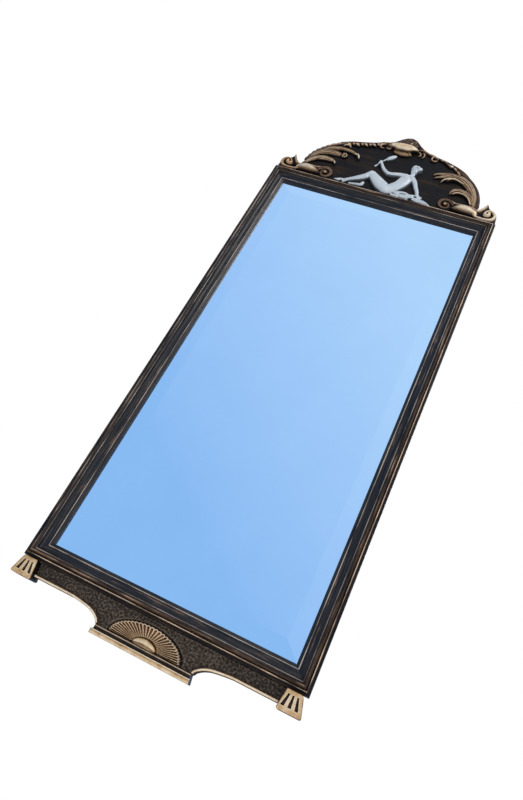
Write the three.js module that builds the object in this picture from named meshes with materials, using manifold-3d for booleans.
// Tall wall mirror: a mitred compound moulding round a bevelled plate, an arched and carved
// crest with a reclining figure in relief, and a shaped apron with a fan over a stepped bar.
//
// Units are millimetres. X runs to the viewer's right, Z is up and the front faces -Y.
// The wall is the plane y = 0. The origin is the middle of the crest batten's flat back,
// level with the joint between the top rail and the crest.
//
// Fronts are drawn by height: a point at height h stands h in front of the frame's back face.

import * as THREE from 'three';
import { mergeVertices } from 'three/addons/utils/BufferGeometryUtils.js';
import Module from 'manifold-3d';

const wasm = await Module();
wasm.setup();

// ---------------------------------------------------------------- driving dimensions

const GAP = 0.3;                       // between pieces that touch
const BATTEN_THICKNESS = 10;
const FRAME_BACK_Y = -(BATTEN_THICKNESS + GAP);

const FRAME_WIDTH = 600;
const FRAME_HEIGHT = 1170;
const HALF_WIDTH = FRAME_WIDTH / 2;
const MOULDING_WIDTH = 41;
const RABBET_WIDTH = 9;
const RABBET_DEPTH = 12;
const RABBET_START = MOULDING_WIDTH - RABBET_WIDTH;

const PLATE = { clearance: 0.7, back: 8.2, edge: 11.2, front: 13.2, bevel: 40 };
const SHEET = { clearance: 1, back: 6.9, front: 7.9 };
const BOARD = { clearance: 1.2, back: 0.3, front: 6.6 };

const PANEL_THICKNESS = 13;            // crest board
const CARVING_BASE = PANEL_THICKNESS + GAP;
const CREST_HALF_BASE = 247;

// Heights in the apron are measured from the frame's lower edge.
const APRON_THICKNESS = 19;
const APRON_TRIM_BASE = APRON_THICKNESS + GAP;
const APRON_TOP_HALF = 259.9;
const APRON_EDGE = { z: -29.3, end: 254.6 };      // straight stretch of the lower edge
const APRON_SWEEP = [
  [168, -29.3], [150, -31.2], [131, -34], [122, -36.6], [113, -40.7], [105.4, -46.2], [102, -51.4],
];
const APRON_FOOT = { half: 100.8, z: -52 };
const EDGE_BEAD = { width: 6.5, rise: 6 };

const BAR = {
  upper: { half: 100, top: -52.3, bottom: -60.5, front: 26 },
  lower: { half: 103, top: -60, bottom: -69.7, front: 31 },
};
const FAN = { z: -49.5, rays: 27, outer: [74, 37], inner: [26.5, 16], rise: 5.5 };
const BOSS = { half: 25, up: 14.5, rise: 11, foot: 1.5 };

const KEYSTONE = {
  top: { inner: 260.6, outer: 291, z: -0.4 },
  bottom: { inner: 253.5, outer: 302.9, z: -38 },
  front: 36,
  flute: { depth: 2.5, top: -8, bottom: -30, topPitch: 8.5, bottomPitch: 13, topHalf: 1.2, bottomHalf: 3 },
};

const CREST_BATTEN = { half: 210, top: 60, bottom: -30 };
const APRON_BATTEN = { half: 95, top: 28, bottom: -42 };
const BATTEN_SCREW = { shank: 2, head: 4, headDepth: 3, length: 19.5 };
const BATTEN_SCREW_Y = BATTEN_THICKNESS;      // the head's top, behind the frame's back face
const CREST_SCREWS = [[-170, 40], [0, 40], [170, 40], [-120, -15], [0, -20], [120, -15]];
const APRON_SCREWS = [[-60, 14], [60, 14], [-60, -26], [60, -26]];

// Turn buttons and hangers are measured from the frame's top edge.
const BUTTON = { x: 276, heights: [-170, -585, -1000], length: 36, width: 12, thickness: 1.5 };
const BUTTON_SCREW = { shank: 2, head: 4, headHeight: 2, length: 16 };

const HANGER = { x: 284, z: -280, axisBehind: 5.2, width: 16, plate: 1.6, drop: 49 };
const KNUCKLE = { bore: 2.1, outer: 3.6 };
const RING = { wire: 1.75, half: 11, leg: 8 };
const HANGER_SCREW = { shank: 1.8, head: 3.4, headDepth: 1.5, length: 13 };
const HANGER_SCREW_DROPS = [25, 41];   // below the ring's axis
const SCREW_SIDES = 8;

const KEY = { leg: 44, back: 8, thickness: 3 };

// ---------------------------------------------------------------- solids and booleans

function welded(geometry) {
  const bare = geometry.clone();
  for (const attribute of ['normal', 'uv']) {
    bare.deleteAttribute(attribute);
  }
  return mergeVertices(bare, 1e-4);
}

function signedVolume(geometry) {
  const position = geometry.attributes.position;
  const corners = [new THREE.Vector3(), new THREE.Vector3(), new THREE.Vector3()];
  let volume = 0;
  for (let face = 0; face < geometry.index.count; face += 3) {
    corners.forEach((corner, i) => {
      corner.fromBufferAttribute(position, geometry.index.getX(face + i));
    });
    volume += corners[0].dot(corners[1].cross(corners[2])) / 6;
  }
  return volume;
}

// Turns a closed geometry's faces outwards, whichever way its outline was drawn.
function outward(geometry) {
  const closed = welded(geometry);
  if (signedVolume(closed) < 0) {
    const index = closed.index.array;
    for (let face = 0; face < index.length; face += 3) {
      [index[face], index[face + 1]] = [index[face + 1], index[face]];
    }
  }
  return closed;
}

function solidOf(geometry) {
  const closed = outward(geometry);
  return new wasm.Manifold(new wasm.Mesh({
    numProp: 3,
    vertProperties: new Float32Array(closed.attributes.position.array),
    triVerts: new Uint32Array(closed.index.array),
  }));
}

function geometryOf(solid) {
  const mesh = solid.getMesh();
  const geometry = new THREE.BufferGeometry();
  geometry.setAttribute('position', new THREE.BufferAttribute(new Float32Array(mesh.vertProperties), 3));
  geometry.setIndex(new THREE.BufferAttribute(new Uint32Array(mesh.triVerts), 1));
  return geometry;
}

function joined(...geometries) {
  return geometryOf(geometries.map(solidOf).reduce((whole, piece) => whole.add(piece)));
}

function cutBy(geometry, ...cutters) {
  const whole = solidOf(geometry);
  return geometryOf(cutters.map(solidOf).reduce((left, cutter) => left.subtract(cutter), whole));
}

// ---------------------------------------------------------------- shape helpers

function shapeOf(points) {
  return new THREE.Shape(points.map(([x, z]) => new THREE.Vector2(x, z)));
}

// A flat shape drawn in X and Z, from height `back` to height `front`.
function slab(shape, back, front, curveSegments = 12) {
  const settings = { depth: front - back, bevelEnabled: false, curveSegments };
  return new THREE.ExtrudeGeometry(shape, settings).rotateX(Math.PI / 2).translate(0, -back, 0);
}

function block([left, right], [back, front], [bottom, top]) {
  return new THREE.BoxGeometry(right - left, front - back, top - bottom)
    .translate((left + right) / 2, -(back + front) / 2, (bottom + top) / 2);
}

function ellipsePoints([x, z], [across, up], fromDegrees, toDegrees, steps) {
  return Array.from({ length: steps + 1 }, (_, i) => {
    const angle = THREE.MathUtils.degToRad(fromDegrees + ((toDegrees - fromDegrees) * i) / steps);
    return [x + across * Math.cos(angle), z + up * Math.sin(angle)];
  });
}

// A closed loft: rings of equal length, each an outline of the solid's section, capped at both ends.
function loft(rings) {
  const size = rings[0].length;
  const triangles = [];
  for (let r = 0; r + 1 < rings.length; r += 1) {
    for (let i = 0; i < size; i += 1) {
      const next = (i + 1) % size;
      const [a, b, c, d] = [r * size + i, r * size + next, (r + 1) * size + next, (r + 1) * size + i];
      triangles.push(a, b, c, a, c, d);
    }
  }
  const last = (rings.length - 1) * size;
  const flat = rings[0].map((point) => new THREE.Vector2(point[1], point[2]));
  for (const [a, b, c] of THREE.ShapeUtils.triangulateShape(flat, [])) {
    triangles.push(c, b, a, last + a, last + b, last + c);
  }
  const geometry = new THREE.BufferGeometry();
  geometry.setAttribute('position', new THREE.Float32BufferAttribute(rings.flat(2), 3));
  geometry.setIndex(triangles);
  return geometry;
}

// A carved ridge: a half-round bar along a smooth curve through [x, z, half width] stations.
function ridge(stations, base, rise) {
  const arcSteps = 5;
  const knots = stations.map(([x, z, half]) => new THREE.Vector3(x, half, z));
  const curve = new THREE.CatmullRomCurve3(knots);
  const count = 2 * (stations.length - 1);
  const widest = Math.max(...stations.map((station) => station[2]));
  const vertices = [];
  const triangles = [];
  for (let s = 0; s <= count; s += 1) {
    const point = curve.getPoint(s / count);
    const along = curve.getTangent(s / count).setY(0).normalize();
    const height = rise * (0.5 + (0.5 * point.y) / widest);
    for (let a = 0; a <= arcSteps; a += 1) {
      const angle = (Math.PI * a) / arcSteps;
      const offset = point.y * Math.cos(angle);
      const front = base + height * Math.sin(angle);
      vertices.push(point.x + along.z * offset, -front, point.z - along.x * offset);
    }
  }
  const size = arcSteps + 1;
  for (let s = 0; s < count; s += 1) {
    for (let a = 0; a < size; a += 1) {
      const next = (a + 1) % size;
      const [p, q] = [s * size + a, s * size + next];
      triangles.push(p, q, q + size, p, q + size, p + size);
    }
  }
  const last = count * size;
  for (let a = 1; a < arcSteps; a += 1) {
    triangles.push(0, a + 1, a, last, last + a, last + a + 1);
  }
  const geometry = new THREE.BufferGeometry();
  geometry.setAttribute('position', new THREE.Float32BufferAttribute(vertices, 3));
  geometry.setIndex(triangles);
  return geometry;
}

// Stations of a spiral scroll, for a ridge.
function spiral([x, z], fromRadius, toRadius, fromDegrees, toDegrees, half) {
  const steps = 9;
  return Array.from({ length: steps + 1 }, (_, i) => {
    const radius = THREE.MathUtils.lerp(fromRadius, toRadius, i / steps);
    const angle = THREE.MathUtils.degToRad(THREE.MathUtils.lerp(fromDegrees, toDegrees, i / steps));
    return [x + radius * Math.cos(angle), z + radius * Math.sin(angle), half];
  });
}

// A low half-ellipsoid on a flat base, turned in the plane of the front.
function dome([x, z], [across, up], base, rise, turnDegrees = 0) {
  const arc = ellipsePoints([0, 0], [1, 1], -90, 0, 4).slice(1);
  const profile = [[0, -1], ...arc, [0, 0]].map(([r, y]) => new THREE.Vector2(r, y));
  return new THREE.LatheGeometry(profile, 16)
    .scale(across, rise, up)
    .rotateY(-THREE.MathUtils.degToRad(turnDegrees))
    .translate(x, -base, z);
}

function mirrored(geometry, side) {
  return side < 0 ? geometry.scale(-1, 1, 1) : geometry;
}

// A wood screw driven from the back towards the front, its head's top at y = 0. With a
// clearance it is the cutter for its own hole.
function countersunkScrew({ shank, head, headDepth, length }, clearance = 0) {
  const profile = [
    [0, -length - clearance], [shank + clearance, -length - clearance],
    [shank + clearance, -headDepth], [head + clearance, 0],
  ];
  if (clearance > 0) {
    profile.push([head + clearance, 2]);      // opens the hole past the surface
  }
  const top = profile[profile.length - 1][1];
  profile.push([0, top]);
  return new THREE.LatheGeometry(profile.map(([r, y]) => new THREE.Vector2(r, y)), SCREW_SIDES);
}

function panHeadScrew({ shank, head, headHeight, length }) {
  const shoulder = [head * 0.8, headHeight * 0.8];
  const profile = [[0, -length], [shank, -length], [shank, 0], [head, 0], shoulder, [0, headHeight]];
  return new THREE.LatheGeometry(profile.map(([r, y]) => new THREE.Vector2(r, y)), SCREW_SIDES);
}

function post(radius, bottom, top) {
  const height = top - bottom;
  return new THREE.CylinderGeometry(radius, radius, height, SCREW_SIDES)
    .translate(0, bottom + height / 2, 0);
}

// ---------------------------------------------------------------- moulded frame

// The moulding's section as [distance in from the outer edge, height].
function mouldingSection() {
  const outerStep = [[0, 0], [0, 24], [4.4, 24]];
  const bead = ellipsePoints([6.5, 28.7], [2.1, 2.3], 180, 0, 5);
  const groove = [[8.6, 26.5], [9.2, 26.5]];
  const torus = ellipsePoints([13.3, 27], [4.1, 8], 180, 0, 7);
  const fillet = [[17.5, 29.5], [19.6, 29.5]];
  const cove = ellipsePoints([33, 28], [13.4, 9], 180, 270, 5);
  const sightEdge = [
    [33, 20], [35, 20], [35, 19], [MOULDING_WIDTH, 15.5],
    [MOULDING_WIDTH, RABBET_DEPTH], [RABBET_START, RABBET_DEPTH], [RABBET_START, 0],
  ];
  return [...outerStep, ...bead, ...groove, ...torus, ...fillet, ...cove, ...sightEdge];
}

// One rail with mitred ends, drawn as the top rail: its outer edge lies on z = 0.
function mitredRail(length) {
  const section = mouldingSection();
  const halfAt = (inward) => length / 2 - inward - GAP / 2;
  const end = (side) => section.map(([inward, height]) => [side * halfAt(inward), -height, -inward]);
  return loft([end(-1), end(1)]);
}

// A triangular key let into a mitre from the outer corner, drawn at a rail's right-hand end.
// It sits 1 mm below the frame's edge. With a clearance it is the cutter for its own slot,
// which runs out past that edge and clears the key's long side.
function mitreKey(railLength, side, clearance = 0) {
  const reach = KEY.leg + 8 * clearance;
  const right = railLength / 2 - 1 + 3 * clearance;
  const top = -1 + 3 * clearance;
  const corner = shapeOf([[right, top], [right - reach, top], [right, top - reach]]);
  return mirrored(slab(corner, KEY.back - clearance, KEY.back + KEY.thickness + clearance), side);
}

function keySlots(railLength) {
  return [-1, 1].map((side) => mitreKey(railLength, side, GAP));
}

function screwHoles(places) {
  return places.map(([x, z]) => countersunkScrew(BATTEN_SCREW, GAP).translate(x, BATTEN_SCREW_Y, z));
}

function rail(screws) {
  return cutBy(mitredRail(FRAME_WIDTH), ...screwHoles(screws), ...keySlots(FRAME_WIDTH));
}

// A stile drawn as a rail: the left end of a right-hand stile is its top.
function stile(side) {
  const place = (x, z) => [-side * (z + FRAME_HEIGHT / 2), x - HALF_WIDTH];
  const hole = ({ shank, length }, [along, across]) => (
    post(shank + GAP, -length, 2).translate(along, 0, across));
  const holes = [
    ...BUTTON.heights.map((z) => hole(BUTTON_SCREW, place(BUTTON.x, z))),
    ...HANGER_SCREW_DROPS.map((drop) => hole(HANGER_SCREW, place(HANGER.x, HANGER.z - drop))),
  ];
  return cutBy(mitredRail(FRAME_HEIGHT), ...holes, ...keySlots(FRAME_HEIGHT));
}

// A rectangle that lies in the rabbet, as corner points running round it.
function rabbetRing(clearance, inset, height) {
  const x = HALF_WIDTH - RABBET_START - clearance - inset;
  const top = -RABBET_START - clearance - inset;
  const bottom = -FRAME_HEIGHT - top;
  return [[-x, -height, bottom], [x, -height, bottom], [x, -height, top], [-x, -height, top]];
}

function rabbetSheet({ clearance, back, front }) {
  const [a, , c] = rabbetRing(clearance, 0, 0);
  return block([a[0], c[0]], [back, front], [a[2], c[2]]);
}

// The plate: flat back, thin edge, and a wide bevel rising to the flat front.
function bevelledPlate() {
  const { clearance, back, edge, front, bevel } = PLATE;
  const rings = [
    rabbetRing(clearance, 0, back),
    rabbetRing(clearance, 0, edge),
    rabbetRing(clearance, bevel, front),
  ];
  const triangles = [0, 1, 2, 0, 2, 3, 8, 10, 9, 8, 11, 10];      // the back and the flat front
  for (const ring of [0, 4]) {
    for (let i = 0; i < 4; i += 1) {
      const next = (i + 1) % 4;
      triangles.push(ring + i, ring + 4 + i, ring + next, ring + next, ring + 4 + i, ring + 4 + next);
    }
  }
  const geometry = new THREE.BufferGeometry();
  geometry.setAttribute('position', new THREE.Float32BufferAttribute(rings.flat(2), 3));
  geometry.setIndex(triangles);
  return geometry;
}

// ---------------------------------------------------------------- crest

// The carved crest isn't quite even: its right shoulder is fuller than its left one.
const CREST_OUTLINE = [
  [-245, 46], [-238, 64], [-225, 98], [-208, 123], [-188, 146], [-154, 165], [-118, 180], [-84, 190],
  [-62, 203], [-36, 216], [-16, 236], [4, 246], [22, 240], [38, 224], [60, 208], [88, 198],
  [126, 188.5], [159, 176], [189, 156], [217, 120], [234, 79], [245, 46],
];

function crestPanel() {
  const shape = new THREE.Shape();
  shape.moveTo(-CREST_HALF_BASE, GAP);
  shape.lineTo(...CREST_OUTLINE[0]);
  shape.splineThru(CREST_OUTLINE.slice(1).map(([x, z]) => new THREE.Vector2(x, z)));
  shape.lineTo(CREST_HALF_BASE, GAP);
  const holes = screwHoles(CREST_SCREWS.filter(([, z]) => z > 0));
  return cutBy(slab(shape, 0, PANEL_THICKNESS, 3), ...holes);
}

const RIGHT_SPRAY = [
  [[231, 50, 5], [222, 84, 8], [204, 112, 11], [178, 131, 12], [148, 136, 9], [122, 134, 5], [106, 128, 2]],
  [[210, 88, 4], [190, 112, 5], [164, 120, 6], [143, 113, 4], [130, 101, 2]],
  [[229, 48, 5], [220, 64, 7], [206, 80, 9], [186, 86, 8], [170, 82, 5], [163, 70, 2]],
  [[231, 47, 3.5], [206, 43, 4], [172, 38, 4]],
  spiral([160, 27], 18, 5, 40, 470, 4),
];

const LEFT_SPRAY = [
  [[-234, 48, 4], [-224, 64, 7], [-204, 76, 8], [-182, 81, 7], [-166, 78, 5], [-157, 68, 2]],
  [[-232, 52, 4], [-216, 88, 8], [-198, 106, 10], [-172, 112, 9], [-152, 108, 6], [-142, 102, 4]],
  [[-214, 92, 4], [-196, 118, 6], [-172, 130, 7], [-142, 132, 7], [-118, 126, 6], [-102, 112, 3]],
  [[-234, 47, 3.5], [-210, 43, 4], [-176, 38, 4]],
  spiral([-164, 27], 18, 5, 140, -290, 4),
];

function spray(strokes) {
  return joined(...strokes.map((stroke) => ridge(stroke, CARVING_BASE, 9)));
}

function cartouche() {
  const lens = dome([0, 190], [36, 14], CARVING_BASE, 16);
  const lobe = dome([0, 173], [23, 11], CARVING_BASE, 10);
  const crown = dome([3, 214], [30, 22], CARVING_BASE, 9);
  const curl = (x, z) => [[x * 0.4, 190, 4], [x * 0.8, z + 3, 5], [x, z, 5], [x * 1.05, z - 8, 3]];
  const curls = [[-58, 182], [-40, 188], [42, 190], [62, 186]]
    .map(([x, z]) => ridge(curl(x, z), CARVING_BASE, 7));
  return joined(lens, lobe, crown, ...curls);
}

function cornerVolute(side) {
  const outline = [
    [250.5, 0.5], [250.5, 34], [257, 40], [262, 52], [266, 62], [271, 50], [282, 41],
    [292, 30], [297, 18], [298.5, 6], [298.5, 0.5],
  ];
  const volute = slab(shapeOf(outline), 1, 29);
  const ring = ridge(spiral([270, 21], 17, 6, -60, 330, 5), 27, 8);
  const leaf = dome([219, 20], [35.5, 16], CARVING_BASE, 20);
  const throat = ridge([[236, 17, 10], [250, 16, 10], [262, 14, 8]], CARVING_BASE, 18);
  return mirrored(joined(volute, ring, leaf, throat), side);
}

// A reclining figure looking into a hand mirror, as simple rounded limbs.
function figureRelief() {
  const base = CARVING_BASE;
  const limbs = [
    [[8, 24, 15], [24, 42, 14], [36, 62, 14], [44, 82, 17], [50, 94, 10]],
    [[4, 24, 15], [-18, 46, 15], [-40, 70, 11]],
    [[-42, 72, 10], [-60, 54, 9], [-84, 40, 7], [-106, 27, 6], [-120, 20, 5], [-134, 20, 4]],
    [[-52, 48, 7], [-62, 34, 5], [-72, 22, 4], [-90, 17, 3]],
    [[36, 90, 7], [8, 84, 6], [-10, 82, 6], [-24, 94, 5], [-36, 112, 4.5], [-40, 124, 4]],
    [[-49, 106, 3], [-38, 124, 3.5], [-26, 140, 3.5]],
    [[50, 90, 8], [55, 106, 6.5], [57, 120, 7]],
    [[60, 90, 7], [72, 74, 6.5], [80, 56, 6], [88, 38, 5], [98, 22, 4.5], [114, 15, 4], [130, 10, 2.5]],
    [[22, 22, 7], [44, 26, 6], [62, 18, 7], [82, 24, 5], [98, 18, 5]],
  ];
  const rounds = [
    dome([3, 22], [19, 16], base, 12),
    dome([57, 122], [15, 16], base, 11),
    dome([-20, 147], [18, 9], base, 6, 45),
  ];
  return joined(...limbs.map((limb) => ridge(limb, base, 11)), ...rounds);
}

// ---------------------------------------------------------------- apron

// The right half of the apron's lower edge: straight, then a sweep down to the foot.
function apronEdge(inset = 0) {
  const steps = 12;
  const curve = new THREE.SplineCurve(APRON_SWEEP.map(([x, z]) => new THREE.Vector2(x, z)));
  const sweep = [];
  for (let i = 0; i <= steps; i += 1) {
    const at = curve.getPoint(i / steps);
    const along = curve.getTangent(i / steps);
    sweep.push([at.x + inset * along.y, at.y - inset * along.x]);
  }
  return [[APRON_EDGE.end, APRON_EDGE.z + inset], ...sweep];
}

function apronPanel() {
  const right = [[APRON_TOP_HALF, -GAP], ...apronEdge(), [APRON_FOOT.half, APRON_FOOT.z]];
  const left = right.map(([x, z]) => [-x, z]).reverse();
  const holes = screwHoles(APRON_SCREWS.filter(([, z]) => z < 0));
  return cutBy(slab(shapeOf([...right, ...left]), 0, APRON_THICKNESS), ...holes);
}

function edgeBead(side) {
  const strip = [...apronEdge(), ...apronEdge(EDGE_BEAD.width).reverse()];
  return mirrored(slab(shapeOf(strip), APRON_TRIM_BASE, APRON_TRIM_BASE + EDGE_BEAD.rise), side);
}

function baseBar() {
  const { upper, lower } = BAR;
  return joined(
    block([-upper.half, upper.half], [0, upper.front], [upper.bottom, upper.top]),
    block([-lower.half, lower.half], [0, lower.front], [lower.bottom, lower.top]),
  );
}

// A half-round fan of ridged rays with scalloped tips, open in the middle for its boss.
function fanShell() {
  const { z, rays, outer, inner, rise } = FAN;
  const rings = [];
  for (let i = 0; i <= 2 * rays; i += 1) {
    const angle = (Math.PI * i) / (2 * rays);
    const onRidge = i % 2 === 1;
    const tip = onRidge ? 1 : 0.95;
    const tipHeight = APRON_TRIM_BASE + (onRidge ? rise : 0.35 * rise);
    const rootHeight = APRON_TRIM_BASE + (onRidge ? 0.7 : 0.45) * rise;
    const [c, s] = [Math.cos(angle), Math.sin(angle)];
    rings.push([
      [inner[0] * c, -APRON_TRIM_BASE, z + inner[1] * s],
      [inner[0] * c, -rootHeight, z + inner[1] * s],
      [outer[0] * tip * c, -tipHeight, z + outer[1] * tip * s],
      [outer[0] * tip * c, -APRON_TRIM_BASE, z + outer[1] * tip * s],
    ]);
  }
  const triangles = [];
  for (let r = 0; r < 2 * rays; r += 1) {
    for (let i = 0; i < 4; i += 1) {
      const [a, b] = [4 * r + i, 4 * r + ((i + 1) % 4)];
      triangles.push(a, b, b + 4, a, b + 4, a + 4);
    }
  }
  const last = 8 * rays;
  triangles.push(0, 2, 1, 0, 3, 2, last, last + 1, last + 2, last, last + 2, last + 3);
  const geometry = new THREE.BufferGeometry();
  geometry.setAttribute('position', new THREE.Float32BufferAttribute(rings.flat(2), 3));
  geometry.setIndex(triangles);
  return geometry;
}

function fanBoss() {
  const round = dome([0, FAN.z], [BOSS.half, BOSS.up], APRON_TRIM_BASE, BOSS.rise);
  const across = BOSS.half + 5;
  const through = [APRON_TRIM_BASE - 1, APRON_TRIM_BASE + BOSS.rise + 5];
  const below = block([-across, across], through, [FAN.z - across, FAN.z - BOSS.foot]);
  return cutBy(round, below);
}

function keystone(side) {
  const { top, bottom, front, flute } = KEYSTONE;
  const face = shapeOf([
    [top.inner, top.z], [top.outer, top.z], [bottom.outer, bottom.z], [bottom.inner, bottom.z],
  ]);
  const flutes = [-1, 0, 1].map((place) => {
    const topX = (top.inner + top.outer) / 2 + place * flute.topPitch;
    const bottomX = (bottom.inner + bottom.outer) / 2 + place * flute.bottomPitch;
    const groove = shapeOf([
      [topX - flute.topHalf, flute.top], [topX + flute.topHalf, flute.top],
      [bottomX + flute.bottomHalf, flute.bottom], [bottomX - flute.bottomHalf, flute.bottom],
    ]);
    return slab(groove, front - flute.depth, front + 2);
  });
  return mirrored(cutBy(slab(face, 0, front), ...flutes), side);
}

// ---------------------------------------------------------------- back of the frame
// Depths behind the frame's back face run along +Y here, up to the wall.

function batten({ half, top, bottom }, screws) {
  const board = block([-half, half], [-GAP - BATTEN_THICKNESS, -GAP], [bottom, top]);
  return cutBy(board, ...screwHoles(screws));
}

// A strip with round ends, its screw hole near the end that stays over the stile.
function turnButton(side) {
  const { length, width, thickness } = BUTTON;
  const radius = width / 2;
  const shape = new THREE.Shape();
  shape.absarc(0, 0, radius, Math.PI / 2, -Math.PI / 2, true);
  shape.absarc(-(length - width), 0, radius, -Math.PI / 2, -1.5 * Math.PI, true);
  const hole = new THREE.Path();
  hole.absarc(0, 0, BUTTON_SCREW.shank + GAP, 0, 2 * Math.PI, false);
  shape.holes.push(hole);
  return mirrored(slab(shape, -GAP - thickness, -GAP, 6), side);
}

function hangerStrap() {
  const { width, plate, drop, axisBehind } = HANGER;
  const strap = block([-width / 2, width / 2], [-GAP - plate, -GAP], [-drop, 0]);
  const knuckle = new THREE.CylinderGeometry(KNUCKLE.outer, KNUCKLE.outer, width, 16)
    .rotateZ(Math.PI / 2).translate(0, axisBehind, 0);
  const bore = new THREE.CylinderGeometry(KNUCKLE.bore, KNUCKLE.bore, width + 2, 16)
    .rotateZ(Math.PI / 2).translate(0, axisBehind, 0);
  const holes = HANGER_SCREW_DROPS
    .map((below) => countersunkScrew(HANGER_SCREW, GAP).translate(0, GAP + plate, -below));
  return cutBy(joined(strap, knuckle), bore, ...holes);
}

// A D of round wire: a straight bar through the knuckle, two short legs and a half circle.
function hangerRing() {
  const { wire, half, leg } = RING;
  const corner = 3;
  const bend = (x, from, to) => ellipsePoints([x, -corner], [corner, corner], from, to, 3);
  const path = [
    ...bend(-(half - corner), 180, 90),
    ...bend(half - corner, 90, 0),
    ...ellipsePoints([0, -leg], [half, half], 0, -180, 10),
  ];
  const sides = 8;
  const vertices = [];
  const triangles = [];
  path.forEach(([x, z], i) => {
    const before = path[(i + path.length - 1) % path.length];
    const after = path[(i + 1) % path.length];
    const along = new THREE.Vector2(after[0] - before[0], after[1] - before[1]).normalize();
    for (let k = 0; k < sides; k += 1) {
      const angle = (2 * Math.PI * k) / sides;
      const out = wire * Math.cos(angle);
      vertices.push(x + along.y * out, wire * Math.sin(angle), z - along.x * out);
      const next = (k + 1) % sides;
      const [a, b] = [i * sides + k, i * sides + next];
      const [c, d] = [((i + 1) % path.length) * sides + next, ((i + 1) % path.length) * sides + k];
      triangles.push(a, b, c, a, c, d);
    }
  });
  const geometry = new THREE.BufferGeometry();
  geometry.setAttribute('position', new THREE.Float32BufferAttribute(vertices, 3));
  geometry.setIndex(triangles);
  return geometry;
}

// ---------------------------------------------------------------- finishes and assembly

const FINISH = {
  moulding: [0x3a2c24, 0.5, 0.15],
  panel: [0x241e1a, 0.6, 0.1],
  carving: [0x8a5f38, 0.45, 0.4],
  gilt: [0xe0bd84, 0.4, 0.5],
  apron: [0x45403a, 0.7, 0.05],
  ivory: [0xdfe6ea, 0.35, 0],
  mirror: [0xa8cbe6, 0.05, 1],
  paper: [0x8b7a60, 0.9, 0],
  raw_wood: [0x9a7a52, 0.8, 0],
  steel: [0xb8a878, 0.35, 0.9],
};

function piece(name, geometry, finish) {
  const [color, roughness, metalness] = FINISH[finish];
  const material = new THREE.MeshStandardMaterial({ color, roughness, metalness });
  const mesh = new THREE.Mesh(outward(geometry), material);
  mesh.name = name;
  return mesh;
}

function placed(mesh, x, y, z) {
  mesh.position.set(x, y, z);
  return mesh;
}

const sideName = (side) => (side < 0 ? 'left' : 'right');

// A rail or key drawn along the top, turned about the front-to-back axis to another side.
function turned(mesh, x, z, quarterTurns) {
  mesh.rotation.y = (quarterTurns * Math.PI) / 2;
  return placed(mesh, x, 0, z);
}

function mouldedFrame() {
  const group = new THREE.Group();
  const topScrews = CREST_SCREWS.filter(([, z]) => z < 0);
  const bottomScrews = APRON_SCREWS.filter(([, z]) => z > 0).map(([x, z]) => [-x, -z]);
  group.add(
    piece('rail_top', rail(topScrews), 'moulding'),
    turned(piece('rail_bottom', rail(bottomScrews), 'moulding'), 0, -FRAME_HEIGHT, 2),
  );
  for (const side of [-1, 1]) {
    const upright = piece(`stile_${sideName(side)}`, stile(side), 'moulding');
    const topKey = piece(`mitre_key_top_${sideName(side)}`, mitreKey(FRAME_WIDTH, side), 'moulding');
    const bottomKey = piece(`mitre_key_bottom_${sideName(side)}`, mitreKey(FRAME_WIDTH, -side), 'moulding');
    group.add(
      turned(upright, side * HALF_WIDTH, -FRAME_HEIGHT / 2, side),
      topKey,
      turned(bottomKey, 0, -FRAME_HEIGHT, 2),
    );
  }
  return group;
}

function glazing() {
  const group = new THREE.Group();
  group.add(
    piece('mirror_plate', bevelledPlate(), 'mirror'),
    piece('backing_sheet', rabbetSheet(SHEET), 'paper'),
    piece('back_board', rabbetSheet(BOARD), 'raw_wood'),
  );
  return group;
}

function battenWithScrews(where, size, screws) {
  const group = new THREE.Group();
  group.add(piece(`${where}_batten`, batten(size, screws), 'raw_wood'));
  screws.forEach(([x, z], i) => {
    const screw = piece(`${where}_batten_screw_${i + 1}`, countersunkScrew(BATTEN_SCREW), 'steel');
    group.add(placed(screw, x, BATTEN_SCREW_Y, z));
  });
  return group;
}

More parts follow.
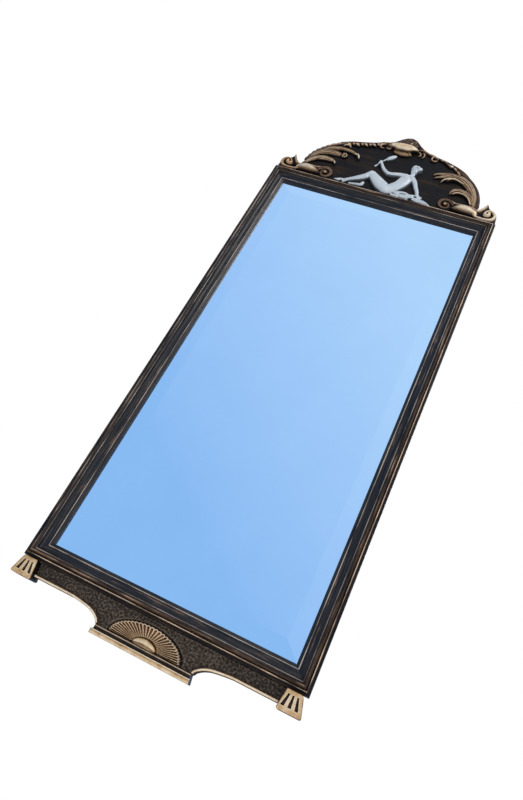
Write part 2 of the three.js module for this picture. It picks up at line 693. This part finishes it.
function crest() {
  const group = new THREE.Group();
  group.add(
    piece('crest_panel', crestPanel(), 'panel'),
    piece('crest_spray_left', spray(LEFT_SPRAY), 'carving'),
    piece('crest_spray_right', spray(RIGHT_SPRAY), 'carving'),
    piece('crest_cartouche', cartouche(), 'gilt'),
    piece('corner_volute_left', cornerVolute(-1), 'gilt'),
    piece('corner_volute_right', cornerVolute(1), 'gilt'),
    piece('figure_relief', figureRelief(), 'ivory'),
    battenWithScrews('crest', CREST_BATTEN, CREST_SCREWS),
  );
  return group;
}

function apron() {
  const group = new THREE.Group();
  group.position.z = -FRAME_HEIGHT;
  group.add(
    piece('apron_panel', apronPanel(), 'apron'),
    piece('apron_bead_left', edgeBead(-1), 'gilt'),
    piece('apron_bead_right', edgeBead(1), 'gilt'),
    piece('base_bar', baseBar(), 'gilt'),
    piece('fan_shell', fanShell(), 'carving'),
    piece('fan_boss', fanBoss(), 'gilt'),
    piece('keystone_left', keystone(-1), 'gilt'),
    piece('keystone_right', keystone(1), 'gilt'),
    battenWithScrews('apron', APRON_BATTEN, APRON_SCREWS),
  );
  return group;
}

function turnButtons() {
  const group = new THREE.Group();
  const screwSeat = GAP + BUTTON.thickness + GAP;
  const places = [-1, 1].flatMap((side) => BUTTON.heights.map((z) => ({ side, z })));
  places.forEach(({ side, z }, i) => {
    const button = piece(`turn_button_${i + 1}`, turnButton(side), 'steel');
    const screw = piece(`turn_button_screw_${i + 1}`, panHeadScrew(BUTTON_SCREW), 'steel');
    group.add(
      placed(button, side * BUTTON.x, 0, z),
      placed(screw, side * BUTTON.x, screwSeat, z),
    );
  });
  return group;
}

function hanger(side) {
  const group = new THREE.Group();
  const name = sideName(side);
  group.position.set(side * HANGER.x, 0, HANGER.z);
  group.add(
    piece(`hanger_strap_${name}`, hangerStrap(), 'steel'),
    placed(piece(`hanger_ring_${name}`, hangerRing(), 'steel'), 0, HANGER.axisBehind, 0),
  );
  HANGER_SCREW_DROPS.forEach((drop, i) => {
    const screw = piece(`hanger_screw_${name}_${i + 1}`, countersunkScrew(HANGER_SCREW), 'steel');
    group.add(placed(screw, 0, GAP + HANGER.plate, -drop));
  });
  return group;
}

const mirror = new THREE.Group();
mirror.add(mouldedFrame(), glazing(), crest(), apron(), turnButtons(), hanger(-1), hanger(1));
mirror.position.y = FRAME_BACK_Y;
mirror.updateMatrixWorld(true);

export default mirror;
